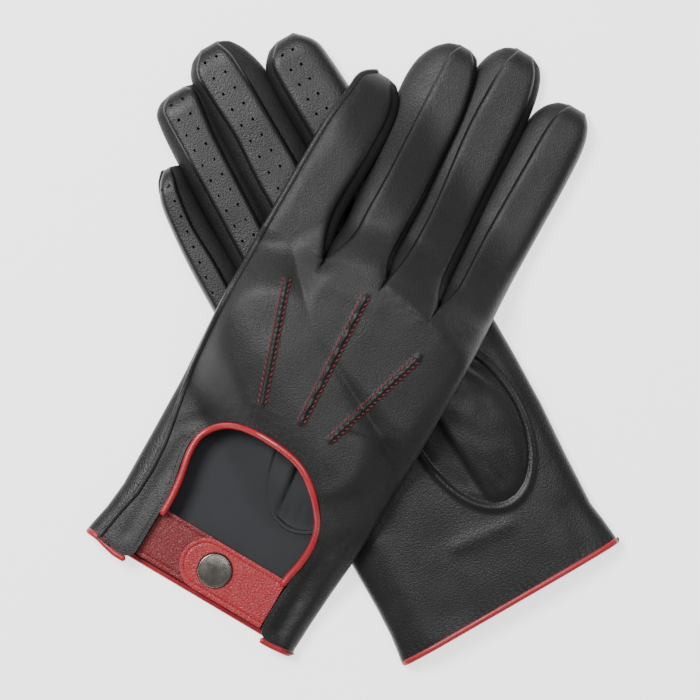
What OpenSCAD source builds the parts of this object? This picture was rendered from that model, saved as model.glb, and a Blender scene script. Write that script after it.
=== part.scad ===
// A pair of unlined leather driving gloves, laid crossed on a flat surface.
// The left glove lies back up on top; the right glove lies palm up beneath it.
//
// Each glove is drawn in its own frame: x across the hand with the little finger at -x and
// the index finger at +x, y from the cuff hem to the fingertips, z up from the table.

/* [Placing] */
// Angle of the left glove from straight ahead, clockwise
left_turn = 30.7; // [20:0.1:40]
// Angle of the right glove from straight ahead, anticlockwise
right_turn = 30; // [20:0.1:40]
// Height that the left glove is raised where it crosses the right one
cross_lift = 11.9; // [11.9:0.1:14]
// Height that it is raised again where it rides over a folded thumb
thumb_lift = 7.4; // [7.4:0.1:10]

/* [Leather] */
// Thickness of the glove leather
leather = 0.9; // [0.6:0.1:1.1]
// Thickness of one layer of the strap leather
strap_leather = 0.6; // [0.5:0.1:0.6]
// Height of a hand at its middle
hand_height = 10.4; // [10:0.1:10.8]
// Height of a finger at its middle
finger_height = 9.6; // [9.2:0.1:10]
// Gap left for the sewing between two pieces
sewing_gap = 0.15; // [0.1:0.01:0.2]

/* [Snap fastener] */
// Diameter of the visible cap
cap_d = 13; // [12:0.1:14]
// Height of the cap over the strap
cap_h = 2.1; // [1.8:0.1:2.1]
// Diameter of the stud's head
stud_d = 3.7; // [3.5:0.1:3.8]
// Width of the strap
strap_w = 19; // [16:0.5:19]

/* [Hidden] */
$fn = 48;

LEFT = 0;
RIGHT = 1;
BACK = 0;
PALM = 1;

// Middle of each cuff hem on the table
cuff = [[-58.2, -85], [55, -89.3]];
turn = [-left_turn, right_turn];

// Colours
black_leather = [0.13, 0.13, 0.14];
red_leather = [0.70, 0.09, 0.13];
gunmetal = [0.45, 0.44, 0.43];

function mix(a, b, t) = a + (b - a) * t;
function clamp01(t) = min(1, max(0, t));
function smooth(t) = let (u = clamp01(t)) u * u * (3 - 2 * u);

// ---------------------------------------------------------------- outline of a hand
// Each row is [y, left edge, right edge]
hand_rows = [
    [[0, -42, 43], [10, -40.5, 43], [25, -40, 43.6], [45, -40.4, 45.2], [70, -41.5, 45.5],
     [100, -43, 44.6], [124, -43.8, 44]],
    [[0, -43.5, 44.5], [10, -42.3, 43.2], [25, -41.8, 43.3], [45, -41.3, 44.6], [70, -41, 46],
     [100, -41, 46], [124, -40.5, 45]],
];
// Where the fingers part: the outer side, three crotches, and the other outer side
finger_base = [
    [[-43.8, 124], [-19, 124], [3.5, 131], [24.5, 131], [44, 131]],
    [[-40.5, 122], [-25, 123], [-7, 129], [20, 129], [45, 127]],
];
// Each finger, little finger first. Each row is [y, left edge of the lower leather,
// left edge of the upper leather, right edge of the upper leather, right edge of the lower]
finger_rows = [
    [
        [[150, -43.8, -43.8, -24.4, -22.8], [175, -43.5, -43.5, -24.4, -24.2],
         [186, -42, -42, -26.5, -26.5], [192, -37, -37, -31, -31]],
        [[140, -19.5, -14.6, 0.4, -1.5], [165, -21.5, -15.3, -0.8, -4.5],
         [190, -25.5, -17, -2.2, -8.5], [205, -26.5, -18, -4.8, -9.5],
         [212, -22.5, -17.6, -8.4, -11], [216, -17, -16, -12, -12.5]],
        [[140, 2, 5.2, 20.8, 21.3], [165, -1, 4.6, 18.8, 19], [190, -5.5, 1.6, 17, 17],
         [205, -7.2, 0, 15.6, 15.6], [218, -5.2, 0, 12.2, 12.2], [225, 1.5, 2.5, 8, 8]],
        [[140, 23.5, 26.8, 43.2, 43.2], [165, 20.8, 25.7, 42.4, 42.4], [190, 19.2, 25.1, 41.5, 41.5],
         [205, 18.8, 25.2, 40.6, 40.6], [212, 21, 25.8, 38.8, 38.8], [217.5, 27.5, 28.5, 35.5, 35.5]],
    ],
    [
        [[150, -39.3, -39.3, -30.3, -25.2], [172, -38.5, -38.5, -30.6, -25.2],
         [184, -36.3, -36.3, -29.3, -25], [191, -33, -33, -27.8, -25.6],
         [194.5, -30.5, -30.5, -27.5, -27]],
        [[150, -23.4, -21.4, -9.6, -7.7], [175, -23.4, -20.8, -8.9, -7.5], [195, -22.8, -20, -8.2, -7.2],
         [208, -21.5, -19.8, -7.4, -7], [214, -19.3, -18.8, -8, -7.8], [217, -16.5, -16, -9.5, -9]],
        [[150, -6.3, -3, 13, 20], [175, -6, -2.8, 13, 19.3], [192, -5.8, -1.6, 12.8, 19.4],
         [206, -5.6, -2.9, 13, 19.8], [218, -3.2, -2.4, 12.8, 16.5], [225, 2, 2.5, 9.5, 10]],
        [[150, 21.6, 22.5, 44, 44], [180, 20.9, 21.6, 43.3, 43.3], [200, 20.9, 21.6, 42, 42],
         [208, 22.8, 23, 40.6, 40.6], [214, 27.5, 28, 35, 35]],
    ],
];

function row_value(rows, y, column) = lookup(y, [for (r = rows) [r[0], r[column]]]);
function hand_left(g, y) = row_value(hand_rows[g], y, 1);
function hand_right(g, y) = row_value(hand_rows[g], y, 2);
function finger_tip(g, f) = let (rows = finger_rows[g][f]) rows[len(rows) - 1][0];

// The back is the upper leather of the left glove and the lower leather of the right one
function is_upper(g, layer) = (g == LEFT) == (layer == BACK);

// ---------------------------------------------------------------- openings in the leather
// The keyhole on the back of the hand: straight sides under a round arch
keyhole_x = 2.5;
keyhole_half = 28;
keyhole_foot_half = 26;
keyhole_arch_y = 38;
keyhole_rise = 23.5;
function arch(a) =
    let (e = a > 90 ? 0.75 : 1, c = cos(a), s = sin(a))
    [keyhole_x + keyhole_half * sign(c) * pow(abs(c), e), keyhole_arch_y + keyhole_rise * pow(s, e)];
// A side of the keyhole from the hem at 0 to the shoulder of the arch at 1
function keyhole_side(side, t) =
    t < 0.4
        ? [keyhole_x + side * keyhole_foot_half, t / 0.4 * 20]
        : t < 0.7
            ? mix([keyhole_x + side * keyhole_foot_half, 20], arch(side < 0 ? 180 : 0), (t - 0.4) / 0.3)
            : arch(side < 0 ? mix(180, 135, (t - 0.7) / 0.3) : mix(0, 45, (t - 0.7) / 0.3));

// The oval in the palm that the thumb is set into
thumb_hole_at = [18, 62];
thumb_hole_half = [17.5, 29];
function thumb_hole(a) =
    [thumb_hole_at[0] + thumb_hole_half[0] * cos(a), thumb_hole_at[1] + thumb_hole_half[1] * sin(a)];

// ---------------------------------------------------------------- heights
side_seam_low = 3;
side_seam_high = 5;
fourchette_low = 1;
fourchette_high = 8;
tip_round = 9;

// The strap lies level with the inside of the black leather that its ends are sewn under.
// The right glove lies on the crown of its own cap.
tab_top = hand_height - 2 * leather;
cap_clearance = max(0.2, tab_top + cap_h - hand_height);

function to_right(x, y) =
    let (
        a = turn[LEFT], b = turn[RIGHT],
        wx = cuff[LEFT][0] + x * cos(a) - y * sin(a) - cuff[RIGHT][0],
        wy = cuff[LEFT][1] + x * sin(a) + y * cos(a) - cuff[RIGHT][1]
    )
    [wx * cos(b) + wy * sin(b), -wx * sin(b) + wy * cos(b)];

// Centre line of each folded thumb, from the middle of its base to the middle of its tip
thumb_line = [[[14, 66], [-22, 92]], [[15, 66], [4, 116]]];
function to_segment(p, s) =
    let (d = s[1] - s[0], t = clamp01(((p - s[0]) * d) / (d * d))) norm(p - s[0] - t * d);
function thumb_bump(g, p) = smooth((34 - to_segment(p, thumb_line[g])) / 20);

// Height of the surface that a glove lies on. The left one climbs over the right one.
function bed(g, x, y) =
    g == RIGHT
        ? cap_clearance * smooth((72 - y) / 32)
        : let (r = to_right(x, y))
          cross_lift * smooth((66 - abs(r[0])) / 38)
          + thumb_lift * max(thumb_bump(LEFT, [x, y]), thumb_bump(RIGHT, r) * smooth((66 - abs(r[0])) / 20));

// Height over the bed of a leather's outer face. s runs from -1 to 1 across the hand, and q
// across finger f. Both leathers close together at the outer sides and round each fingertip.
function across(g, x, y) =
    let (l = hand_left(g, y), r = hand_right(g, y)) (2 * x - l - r) / (r - l);
function tip_fullness(g, f, y) =
    let (d = clamp01((finger_tip(g, f) - y) / tip_round)) sqrt(1 - (1 - d) * (1 - d));
function edge_height(f, q, outer, inner) = (f == 0 && q < 0) || (f == 3 && q > 0) ? outer : inner;
function upper_height(g, x, y, f, q) =
    let (
        hand = hand_height - (hand_height - side_seam_high) * pow(min(1, abs(across(g, x, y))), 4),
        edge = edge_height(f, q, side_seam_high, fourchette_high),
        finger = finger_height - (finger_height - edge) * pow(abs(q), 3),
        full = mix(hand, finger, smooth((y - 98) / 26))
    )
    mix(side_seam_high + 0.3, full, tip_fullness(g, f, y));
function lower_height(g, x, y, f, q) =
    let (
        hand = side_seam_low * pow(min(1, abs(across(g, x, y))), 6),
        finger = edge_height(f, q, side_seam_low, fourchette_low) * pow(abs(q), 4),
        full = mix(hand, finger, smooth((y - 98) / 26))
    )
    mix(side_seam_low, full, tip_fullness(g, f, y));

// ---------------------------------------------------------------- leather grids
columns = 6;       // across each finger
side_columns = 4;  // beside the keyhole
shoulder_row = 7;
base_row = 16;
finger_row_count = 10;
last_row = base_row + finger_row_count;
all_columns = 4 * columns;
rim_columns = all_columns - 2 * side_columns;  // over the keyhole

// The block of the grid that is left out: [first column, last column, first row, last row]
function opening(layer) =
    layer == BACK ? [side_columns, all_columns - side_columns, 0, shoulder_row] : [13, 20, 5, 10];

function opening_left(layer, t) = layer == BACK ? keyhole_side(-1, t) : thumb_hole(mix(225, 135, t));
function opening_right(layer, t) = layer == BACK ? keyhole_side(1, t) : thumb_hole(mix(-45, 45, t));
function opening_top(layer, t) = layer == BACK ? arch(mix(135, 45, t)) : thumb_hole(mix(135, 45, t));
function opening_bottom(layer, t) = layer == BACK ? [0, 0] : thumb_hole(mix(225, 315, t));

// One row of the grid that passes the opening's upper or lower rim
function rim_row(g, layer, c, top) =
    let (
        o = opening(layer),
        left = top ? opening_top(layer, 0) : opening_bottom(layer, 0),
        right = top ? opening_top(layer, 1) : opening_bottom(layer, 1),
        t = (c - o[0]) / (o[1] - o[0])
    )
    c <= o[0] ? mix([hand_left(g, left[1]), left[1]], left, c / o[0])
    : c >= o[1] ? mix(right, [hand_right(g, right[1]), right[1]], (c - o[1]) / (all_columns - o[1]))
    : top ? opening_top(layer, t) : opening_bottom(layer, t);

function hem_point(g, c) = [mix(hand_left(g, 0), hand_right(g, 0), c / all_columns), 0];
function base_point(g, c) =
    let (f = min(3, floor(c / columns)))
    mix(finger_base[g][f], finger_base[g][f + 1], (c - f * columns) / columns);

function hand_point(g, layer, c, r) =
    let (o = opening(layer), t = (r - o[2]) / (o[3] - o[2]))
    r > o[3] ? mix(rim_row(g, layer, c, true), base_point(g, c), (r - o[3]) / (base_row - o[3]))
    : r == o[3] ? rim_row(g, layer, c, true)
    : r < o[2] ? mix(hem_point(g, c), rim_row(g, layer, c, false), r / o[2])
    : r == o[2] && layer == PALM ? rim_row(g, layer, c, false)
    : c <= o[0] ? let (p = opening_left(layer, t)) mix([hand_left(g, p[1]), p[1]], p, c / o[0])
    : let (p = opening_right(layer, t))
      mix(p, [hand_right(g, p[1]), p[1]], (c - o[1]) / (all_columns - o[1]));

function finger_point(g, layer, f, i, r) =
    let (
        u = (r - base_row) / finger_row_count,
        y0 = mix(finger_base[g][f][1], finger_base[g][f + 1][1], i / columns),
        y = mix(y0, finger_tip(g, f), 1 - pow(1 - u, 1.5)),
        upper = is_upper(g, layer),
        edge_l = concat([[finger_base[g][f][1], finger_base[g][f][0]]],
            [for (k = finger_rows[g][f]) [k[0], k[upper ? 2 : 1]]]),
        edge_r = concat([[finger_base[g][f + 1][1], finger_base[g][f + 1][0]]],
            [for (k = finger_rows[g][f]) [k[0], k[upper ? 3 : 4]]])
    )
    [mix(lookup(y, edge_l), lookup(y, edge_r), i / columns), y];

function plan_point(g, layer, f, i, r) =
    r <= base_row ? hand_point(g, layer, f * columns + i, r) : finger_point(g, layer, f, i, r);

// The two faces of the leather at one grid point, upper face first
function face_points(g, layer, f, i, r) =
    let (
        p = plan_point(g, layer, f, i, r),
        q = 2 * i / columns - 1,
        b = bed(g, p[0], p[1]),
        top = is_upper(g, layer)
            ? b + upper_height(g, p[0], p[1], f, q)
            : b + lower_height(g, p[0], p[1], f, q) + leather
    )
    [[p[0], p[1], top], [p[0], p[1], top - leather]];

function has_cell(layer, f, i, r) =
    r < 0 || r >= last_row ? false
    : (i < 0 || i >= columns) && r >= base_row ? false
    : let (c = f * columns + i, o = opening(layer))
      c >= 0 && c < all_columns && !(c >= o[0] && c < o[1] && r >= o[2] && r < o[3]);

// Number of a grid point on the upper face; the same point on the lower face is the next
function corner(f, i, r) = ((f * (columns + 1) + i) * (last_row + 1) + r) * 2;
function quad(a, b, c, d) = [[a, b, c], [a, c, d]];

// A leather of the trank: one closed solid made from the grid
module trank_leather(g, layer) {
    // The wall down an open side of a cell, from corner a to corner b of its upper face
    function wall(a, b) = quad(a, b, b + 1, a + 1);
    // The triangles of one cell: its two faces, and a wall on each side with no neighbour
    function cell(f, i, r) =
        let (
            a = corner(f, i, r),
            b = corner(f, i, r + 1),
            c = corner(f, i + 1, r + 1),
            d = corner(f, i + 1, r)
        )
        concat(
            quad(a, b, c, d),
            quad(a + 1, d + 1, c + 1, b + 1),
            has_cell(layer, f, i, r - 1) ? [] : wall(a, d),
            has_cell(layer, f, i, r + 1) ? [] : wall(c, b),
            has_cell(layer, f, i - 1, r) ? [] : wall(b, a),
            has_cell(layer, f, i + 1, r) ? [] : wall(d, c)
        );
    points = [
        for (f = [0:3])
            for (i = [0:columns])
                for (r = [0:last_row])
                    for (p = face_points(g, layer, f, i, r)) p
    ];
    faces = [
        for (f = [0:3])
            for (i = [0:columns - 1])
                for (r = [0:last_row - 1])
                    if (has_cell(layer, f, i, r))
                        for (t = cell(f, i, r)) t
    ];
    polyhedron(points, faces, convexity = 8);
}

module back(g) color(black_leather) trank_leather(g, BACK);
module palm(g) color(black_leather) trank_leather(g, PALM);

// ---------------------------------------------------------------- swept solids
// Joins rings of the same number of points, with a flat end at each end
module loft(rings) {
    n = len(rings[0]);
    last = len(rings) - 1;
    faces = concat(
        [[for (i = [0:n - 1]) i]],
        [for (k = [0:last - 1]) for (i = [0:n - 1]) for (t = quad(
            k * n + i, (k + 1) * n + i, (k + 1) * n + (i + 1) % n, k * n + (i + 1) % n)) t],
        [[for (i = [n - 1:-1:0]) last * n + i]]
    );
    polyhedron([for (ring = rings) for (p = ring) p], faces, convexity = 8);
}

// A forked gusset strip: down the right side of finger f, round the crotch and up the left
// side of the next finger
strip = 0.8;
edge_inset = 0.7;
edge_gap = 0.3;    // over and under the strip
module fourchette(g, f) {
    upper_layer = g == LEFT ? BACK : PALM;
    lower_layer = g == LEFT ? PALM : BACK;
    // The point beside p that is as far from the bed as p is, and then raised by gap
    function beside(g, p, step, gap) =
        [p[0] + step[0], p[1] + step[1],
         p[2] + bed(g, p[0] + step[0], p[1] + step[1]) - bed(g, p[0], p[1]) + gap];
    function station(finger, i, r, inward) =
        let (
            u = face_points(g, upper_layer, finger, i, r)[1],
            l = face_points(g, lower_layer, finger, i, r)[0],
            outer = inward * edge_inset,
            inner = inward * (edge_inset + strip)
        )
        [
            beside(g, u, outer, -edge_gap), beside(g, l, outer, edge_gap),
            beside(g, l, inner, edge_gap), beside(g, u, inner, -edge_gap)
        ];
    top_row = last_row - 2;
    color(black_leather) loft(concat(
        [for (r = [top_row:-1:base_row + 1]) station(f, columns, r, [-1, 0])],
        [station(f, columns, base_row, [0, -1])],
        [for (r = [base_row + 1:top_row]) station(f + 1, 0, r, [1, 0])]
    ));
}

// A thumb: a closed-ended sleeve whose mouth is the oval in the palm
thumb_width = 25;
thumb_height = 6.2;
thumb_sides = 16;
thumb_gap = 0.5;   // between the folded thumb and the palm
rim_gap = 0.5;     // between its mouth and the oval's edge
mouth_rings = 3;   // over which the mouth turns into the sleeve
sleeve_rings = 5;
module thumb(g) {
    away = g == LEFT ? -1 : 1;  // a thumb lies on the palm's outer side
    line = thumb_line[g];
    start = g == LEFT ? [4, 78] : [13, 86];
    dir = (line[1] - start) / norm(line[1] - start);
    wide = [dir[1], -dir[0]];
    reach = norm(line[1] - start);
    // The palm's outer face under or over a point
    function palm_face(p) = bed(g, p[0], p[1]) + (g == LEFT ? lower_height(g, p[0], p[1], 1, 0)
        : upper_height(g, p[0], p[1], 1, 0));
    function sleeve(at, half, height, a, wall) =
        let (
            flat = at + wide * (half - wall) * cos(a),
            h = height / 2 - (height / 2 - wall) * sin(a)
        )
        [flat[0], flat[1], h];
    function ring(k, wall) =
        let (
            w = smooth(min(1, k / mouth_rings)),
            s = max(0, (k - mouth_rings) / sleeve_rings),
            end = sqrt(max(0, 1 - pow(max(0, s - 0.45) / 0.55, 2.2))),
            at = start + dir * (s * (reach + 9)),
            half = max(4, thumb_width / 2 * end),
            height = max(2.4, thumb_height * mix(0.55, 1, end))
        )
        [for (j = [0:thumb_sides - 1])
            let (
                a = j * 360 / thumb_sides,
                rim = thumb_hole_half - [1, 1] * (rim_gap + wall),
                o = thumb_hole_at + [rim[0] * cos(a), rim[1] * sin(a)],
                e = sleeve(at, half, height, a, wall),
                p = mix([o[0], o[1], 0.3], e, w)
            )
            [p[0], p[1], palm_face(p) + away * (p[2] + thumb_gap)]];
    count = mouth_rings + sleeve_rings;
    rings = concat([for (k = [count:-1:0]) ring(k, leather * 0.8)], [for (k = [0:count]) ring(k, 0)]);
    color(black_leather) loft(g == LEFT ? [for (r = rings) [for (j = [thumb_sides - 1:-1:0]) r[j]]] : rings);
}

// ---------------------------------------------------------------- trims of the cuff
module place(g) translate([cuff[g][0], cuff[g][1], 0]) rotate([0, 0, turn[g]]) children();

// The red roll round the keyhole's edge
piping_d = 2;
piping_sides = 8;
piping_foot = 3;   // grid row that each end starts at, just above the strap
module keyhole_piping(g) {
    // The keyhole's edge as the leather's grid has it
    edge = concat(
        [for (r = [piping_foot:shoulder_row]) opening_left(BACK, r / shoulder_row)],
        [for (c = [1:rim_columns - 1]) opening_top(BACK, c / rim_columns)],
        [for (r = [shoulder_row:-1:piping_foot]) opening_right(BACK, r / shoulder_row)]
    );
    last = len(edge) - 1;
    function lift(p) =
        let (b = bed(g, p[0], p[1]))
        g == LEFT ? b + upper_height(g, p[0], p[1], 1, 0) - 0.6
        : max(piping_d / 2, b + lower_height(g, p[0], p[1], 1, 0) + 0.8);
    color(red_leather) loft([for (k = [0:last])
        let (
            p = edge[k],
            d = edge[min(last, k + 1)] - edge[max(0, k - 1)],
            n = [d[1], -d[0]] / norm(d),
            c = p + n * (piping_d / 2 + 1.5 * sewing_gap)
        )
        [for (j = [0:piping_sides - 1])
            let (a = -j * 360 / piping_sides, r = piping_d / 2)
            [c[0] + n[0] * r * cos(a), c[1] + n[1] * r * cos(a), lift(p) + r * sin(a)]]]);
}

// The red binding of the hem: a band along the hem's edge that stops at the keyhole
binding_w = 2.2;
binding_t = 1;
binding_steps = 24;
module hem_binding(g) {
    function station(k, grow) = mix(hand_left(g, 0) - grow, hand_right(g, 0) + grow, k / binding_steps);
    function crown(x, grow) = grow * (1 - pow(min(1, abs(across(g, x, 0))), 8));
    function profile(grow) = [
        for (k = [0:binding_steps])
            let (x = station(k, grow))
            [x, bed(g, x, 0) + upper_height(g, x, 0, 1, 0) + crown(x, grow)],
        for (k = [binding_steps:-1:0])
            let (x = station(k, grow))
            [x, bed(g, x, 0) + lower_height(g, x, 0, 1, 0) - crown(x, grow)],
    ];
    gap_bottom = g == LEFT ? hand_height / 2 : -hand_height / 2;
    foot = keyhole_foot_half + sewing_gap;
    color(red_leather) translate([0, -sewing_gap, 0]) rotate([90, 0, 0]) linear_extrude(binding_w)
        difference() {
            polygon(profile(0));
            polygon(profile(-binding_t));
            translate([keyhole_x - foot, gap_bottom]) square([2 * foot, hand_height]);
        }
}

// The elastic tape sewn inside the palm at the wrist
elastic_w = 6;
elastic_t = 0.5;
elastic_half = 33;
elastic_y = 4;
elastic_gap = 0.1;
elastic_steps = 20;
module wrist_elastic(g) {
    function face(x, y) =
        bed(g, x, y) + (g == LEFT ? lower_height(g, x, y, 1, 0) + leather + elastic_gap
            : upper_height(g, x, y, 1, 0) - leather - elastic_gap - elastic_t);
    color(black_leather) loft([for (k = [0:elastic_steps])
        let (
            x = mix(-elastic_half, elastic_half, k / elastic_steps),
            near = [x, elastic_y, face(x, elastic_y)],
            far = [x, elastic_y + elastic_w, face(x, elastic_y + elastic_w)],
            up = [0, 0, elastic_t]
        )
        [near, far, far + up, near + up]]);
}

// ---------------------------------------------------------------- strap and snap fastener
// Drawn back up at the height of the left glove's strap, and turned over for the right glove
strap_y = 10.3;
snap_x = 4;
layers = 2 * strap_leather;
stud_tab_top = tab_top - layers - 0.35;
tab_side_gap = 0.4;

module on_back(g) {
    if (g == LEFT) children();
    else translate([0, 0, cap_clearance + hand_height]) mirror([0, 0, 1])
        children();
}

module tab_shape(root, tip_x) {
    toward = sign(tip_x - root);
    r = strap_w / 2;
    translate([tip_x - toward * r, strap_y]) circle(r);
    translate([min(root, tip_x - toward * r), strap_y - r]) square([abs(tip_x - toward * r - root), strap_w]);
}

snap_tab_root = keyhole_x + keyhole_foot_half - tab_side_gap;
snap_tab_tip = -9.2;
stud_tab_root = keyhole_x - keyhole_foot_half + tab_side_gap;
stud_tab_tip = 13;
post_r = 1.2;       // of the stud's rivet
eyelet_r = 2.4;
hole_play = 0.05;   // between a fastener and the leather round it

module strap_layer(root, tip_x, bottom, hole_r) {
    translate([0, 0, bottom]) linear_extrude(strap_leather) difference() {
        tab_shape(root, tip_x);
        translate([snap_x, strap_y]) circle(hole_r + hole_play);
    }
}

module snap_tab(g) color(red_leather) on_back(g)
    strap_layer(snap_tab_root, snap_tab_tip, tab_top - strap_leather, socket_r);
module snap_tab_lining(g) color(red_leather) on_back(g)
    strap_layer(snap_tab_root, snap_tab_tip, tab_top - layers, socket_flange_r);
module stud_tab(g) color(red_leather) on_back(g)
    strap_layer(stud_tab_root, stud_tab_tip, stud_tab_top - strap_leather, post_r);
module stud_tab_lining(g) color(red_leather) on_back(g)
    strap_layer(stud_tab_root, stud_tab_tip, stud_tab_top - layers, eyelet_r);

module at_snap(g, z) on_back(g) translate([snap_x, strap_y, z]) children();

// A shallow pressed cap: a flat crown, a rounded shoulder and a rolled rim, hollow below
cap_hollow = 1;
module snap_cap(g) color(gunmetal) at_snap(g, tab_top)
    rotate_extrude($fn = 64) polygon([
        [0, cap_hollow], [cap_d / 2 - 1.4, cap_hollow], [cap_d / 2 - 0.7, 0.7], [cap_d / 2 - 0.5, 0.02],
        [cap_d / 2 - 0.1, 0.02], [cap_d / 2, 0.5], [cap_d / 2 - 0.2, 1.2], [cap_d / 2 - 1, cap_h - 0.35],
        [cap_d / 2 - 2.2, cap_h], [0, cap_h]]);

// The socket: a flange let into the lining, and a cup that stands up into the cap's hollow
socket_r = 3.2;
socket_flange_r = 4.6;
mouth_r = stud_d / 2 + 0.55;
socket_h = layers + cap_hollow - 0.15;
socket_wall = 0.3;
module snap_socket(g) color(gunmetal) at_snap(g, tab_top - layers)
    rotate_extrude($fn = 64) polygon([
        [mouth_r, 0], [socket_flange_r, 0], [socket_flange_r, socket_wall], [socket_r, socket_wall],
        [socket_r, socket_h], [0, socket_h], [0, socket_h - socket_wall], [mouth_r, socket_h - socket_wall]]);

// The open spring ring inside the cup, which grips the stud's neck
spring_wire = 0.3;
module socket_spring(g) color(gunmetal) at_snap(g, tab_top - layers + 0.5)
    rotate_extrude(angle = 320, $fn = 48) translate([mouth_r - spring_wire / 2 - 0.02, 0])
        circle(d = spring_wire, $fn = 16);

// The stud stands on the lower tab. Its rivet goes down through the leather into the eyelet.
stud_r = stud_d / 2;
neck_r = stud_r - 0.4;
module snap_stud(g) color(gunmetal) at_snap(g, stud_tab_top)
    rotate_extrude($fn = 64) polygon([
        [0, 0.02 - strap_leather], [post_r, 0.02 - strap_leather], [post_r, 0.02], [3.4, 0.02], [3.4, 0.28],
        [neck_r, 0.28], [neck_r, 0.9], [stud_r, 1.15], [stud_r, 1.35], [stud_r - 0.3, 1.6], [0, 1.6]]);
module stud_eyelet(g) color(gunmetal) at_snap(g, stud_tab_top - layers)
    rotate_extrude($fn = 64) polygon([
        [0.7, -0.5], [2.9, -0.5], [3.4, -0.25], [3.4, -0.05], [eyelet_r, -0.05],
        [eyelet_r, strap_leather - 0.02], [0.7, strap_leather - 0.02]]);

// ---------------------------------------------------------------- one glove
PARTS = [
    "back", "palm", "thumb", "fourchette_little_ring", "fourchette_ring_middle",
    "fourchette_middle_index", "keyhole_piping", "hem_binding", "wrist_elastic", "snap_tab",
    "snap_tab_lining", "snap_cap", "snap_socket", "socket_spring", "stud_tab", "stud_tab_lining",
    "snap_stud", "stud_eyelet",
];

module glove_part(g, name) place(g) {
    if (name == "back") back(g);
    if (name == "palm") palm(g);
    if (name == "thumb") thumb(g);
    if (name == "fourchette_little_ring") fourchette(g, 0);
    if (name == "fourchette_ring_middle") fourchette(g, 1);
    if (name == "fourchette_middle_index") fourchette(g, 2);
    if (name == "keyhole_piping") keyhole_piping(g);
    if (name == "hem_binding") hem_binding(g);
    if (name == "wrist_elastic") wrist_elastic(g);
    if (name == "snap_tab") snap_tab(g);
    if (name == "snap_tab_lining") snap_tab_lining(g);
    if (name == "snap_cap") snap_cap(g);
    if (name == "snap_socket") snap_socket(g);
    if (name == "socket_spring") socket_spring(g);
    if (name == "stud_tab") stud_tab(g);
    if (name == "stud_tab_lining") stud_tab_lining(g);
    if (name == "snap_stud") snap_stud(g);
    if (name == "stud_eyelet") stud_eyelet(g);
}

for (part = PARTS) {
    glove_part(RIGHT, part);
    glove_part(LEFT, part);
}
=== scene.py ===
import functools
import math

import bmesh
import bpy
from mathutils import Matrix, Vector, noise


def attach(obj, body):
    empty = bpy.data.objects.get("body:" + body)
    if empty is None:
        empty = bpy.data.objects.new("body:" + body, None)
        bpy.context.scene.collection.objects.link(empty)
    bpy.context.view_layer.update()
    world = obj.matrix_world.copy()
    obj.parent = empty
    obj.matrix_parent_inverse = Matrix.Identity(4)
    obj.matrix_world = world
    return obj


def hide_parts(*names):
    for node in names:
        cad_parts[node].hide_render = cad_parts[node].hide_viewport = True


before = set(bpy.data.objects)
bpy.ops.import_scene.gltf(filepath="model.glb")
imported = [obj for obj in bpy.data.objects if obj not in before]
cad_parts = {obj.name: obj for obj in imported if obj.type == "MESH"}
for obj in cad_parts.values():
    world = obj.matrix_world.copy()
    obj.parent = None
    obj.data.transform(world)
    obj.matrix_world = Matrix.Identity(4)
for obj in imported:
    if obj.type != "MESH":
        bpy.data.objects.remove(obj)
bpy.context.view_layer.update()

# ---------------------------------------------------------------------------------------
# The hides: a back and a palm of 0.9 mm black nappa for each glove, cut with four fingers. The
# back has the keyhole and the palm an oval for the thumb, and their edges roll into the seams.
# The left glove lies back up across the right one, which lies palm up. Each is laid out in its
# own plan in millimetres: x across the hand, y from the hem to the fingertips.
MM = 0.001
CUFF_MIDDLE = {"left": (-58.2, -85.0), "right": (55.0, -89.3)}
TURN = {"left": math.radians(-30.7), "right": math.radians(30.0)}
CROSS_LIFT = 11.9
THUMB_LIFT = 7.4
CAP_CLEARANCE = 0.3
CROSS_EDGE = 66          # off the lower glove's middle line, where the upper one comes down
THUMB_EDGE = 34          # off a folded thumb's middle line, where its lump ends
THUMB_SLOPE = 20
# Middle line of each folded thumb, from its root to its tip
THUMB_LINE = {"left": ((14, 66), (-22, 92)), "right": ((15, 66), (4, 116))}


def mix(a, b, t):
    return a + (b - a) * t


def smooth(t):
    t = min(1.0, max(0.0, t))
    return t * t * (3 - 2 * t)


def table(rows, at):
    """Straight-line reading of a short table of (place, value)."""
    if at <= rows[0][0]:
        return rows[0][1]
    for (a, va), (b, vb) in zip(rows, rows[1:]):
        if at <= b:
            return mix(va, vb, (at - a) / (b - a))
    return rows[-1][1]


def spline(points, t):
    """A smooth curve through the points, with t from 0 to 1 over all of them."""
    last = len(points) - 1
    k = min(last - 1, max(0, int(t * last)))
    u = t * last - k
    p0, p1 = points[max(0, k - 1)], points[k]
    p2, p3 = points[k + 1], points[min(last, k + 2)]
    return tuple(
        0.5 * (2 * b + (c - a) * u + (2 * a - 5 * b + 4 * c - d) * u * u + (3 * b - a - 3 * c + d) * u**3)
        for a, b, c, d in zip(p0, p1, p2, p3)
    )


def to_row(glove, x, y, z):
    """A place on a glove's plan, in metres in the row's frame."""
    c, s = math.cos(TURN[glove]), math.sin(TURN[glove])
    ox, oy = CUFF_MIDDLE[glove]
    return Vector(((ox + c * x - s * y) * MM, (oy + s * x + c * y) * MM, z * MM))


def on_right_plan(x, y):
    """Where a place on the left glove's plan lies on the right glove's plan."""
    p = to_row("left", x, y, 0) / MM
    dx, dy = p.x - CUFF_MIDDLE["right"][0], p.y - CUFF_MIDDLE["right"][1]
    c, s = math.cos(TURN["right"]), math.sin(TURN["right"])
    return dx * c + dy * s, -dx * s + dy * c


def from_line(x, y, line):
    (ax, ay), (bx, by) = line
    dx, dy = bx - ax, by - ay
    t = min(1.0, max(0.0, ((x - ax) * dx + (y - ay) * dy) / (dx * dx + dy * dy)))
    return math.hypot(x - ax - t * dx, y - ay - t * dy)


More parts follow.
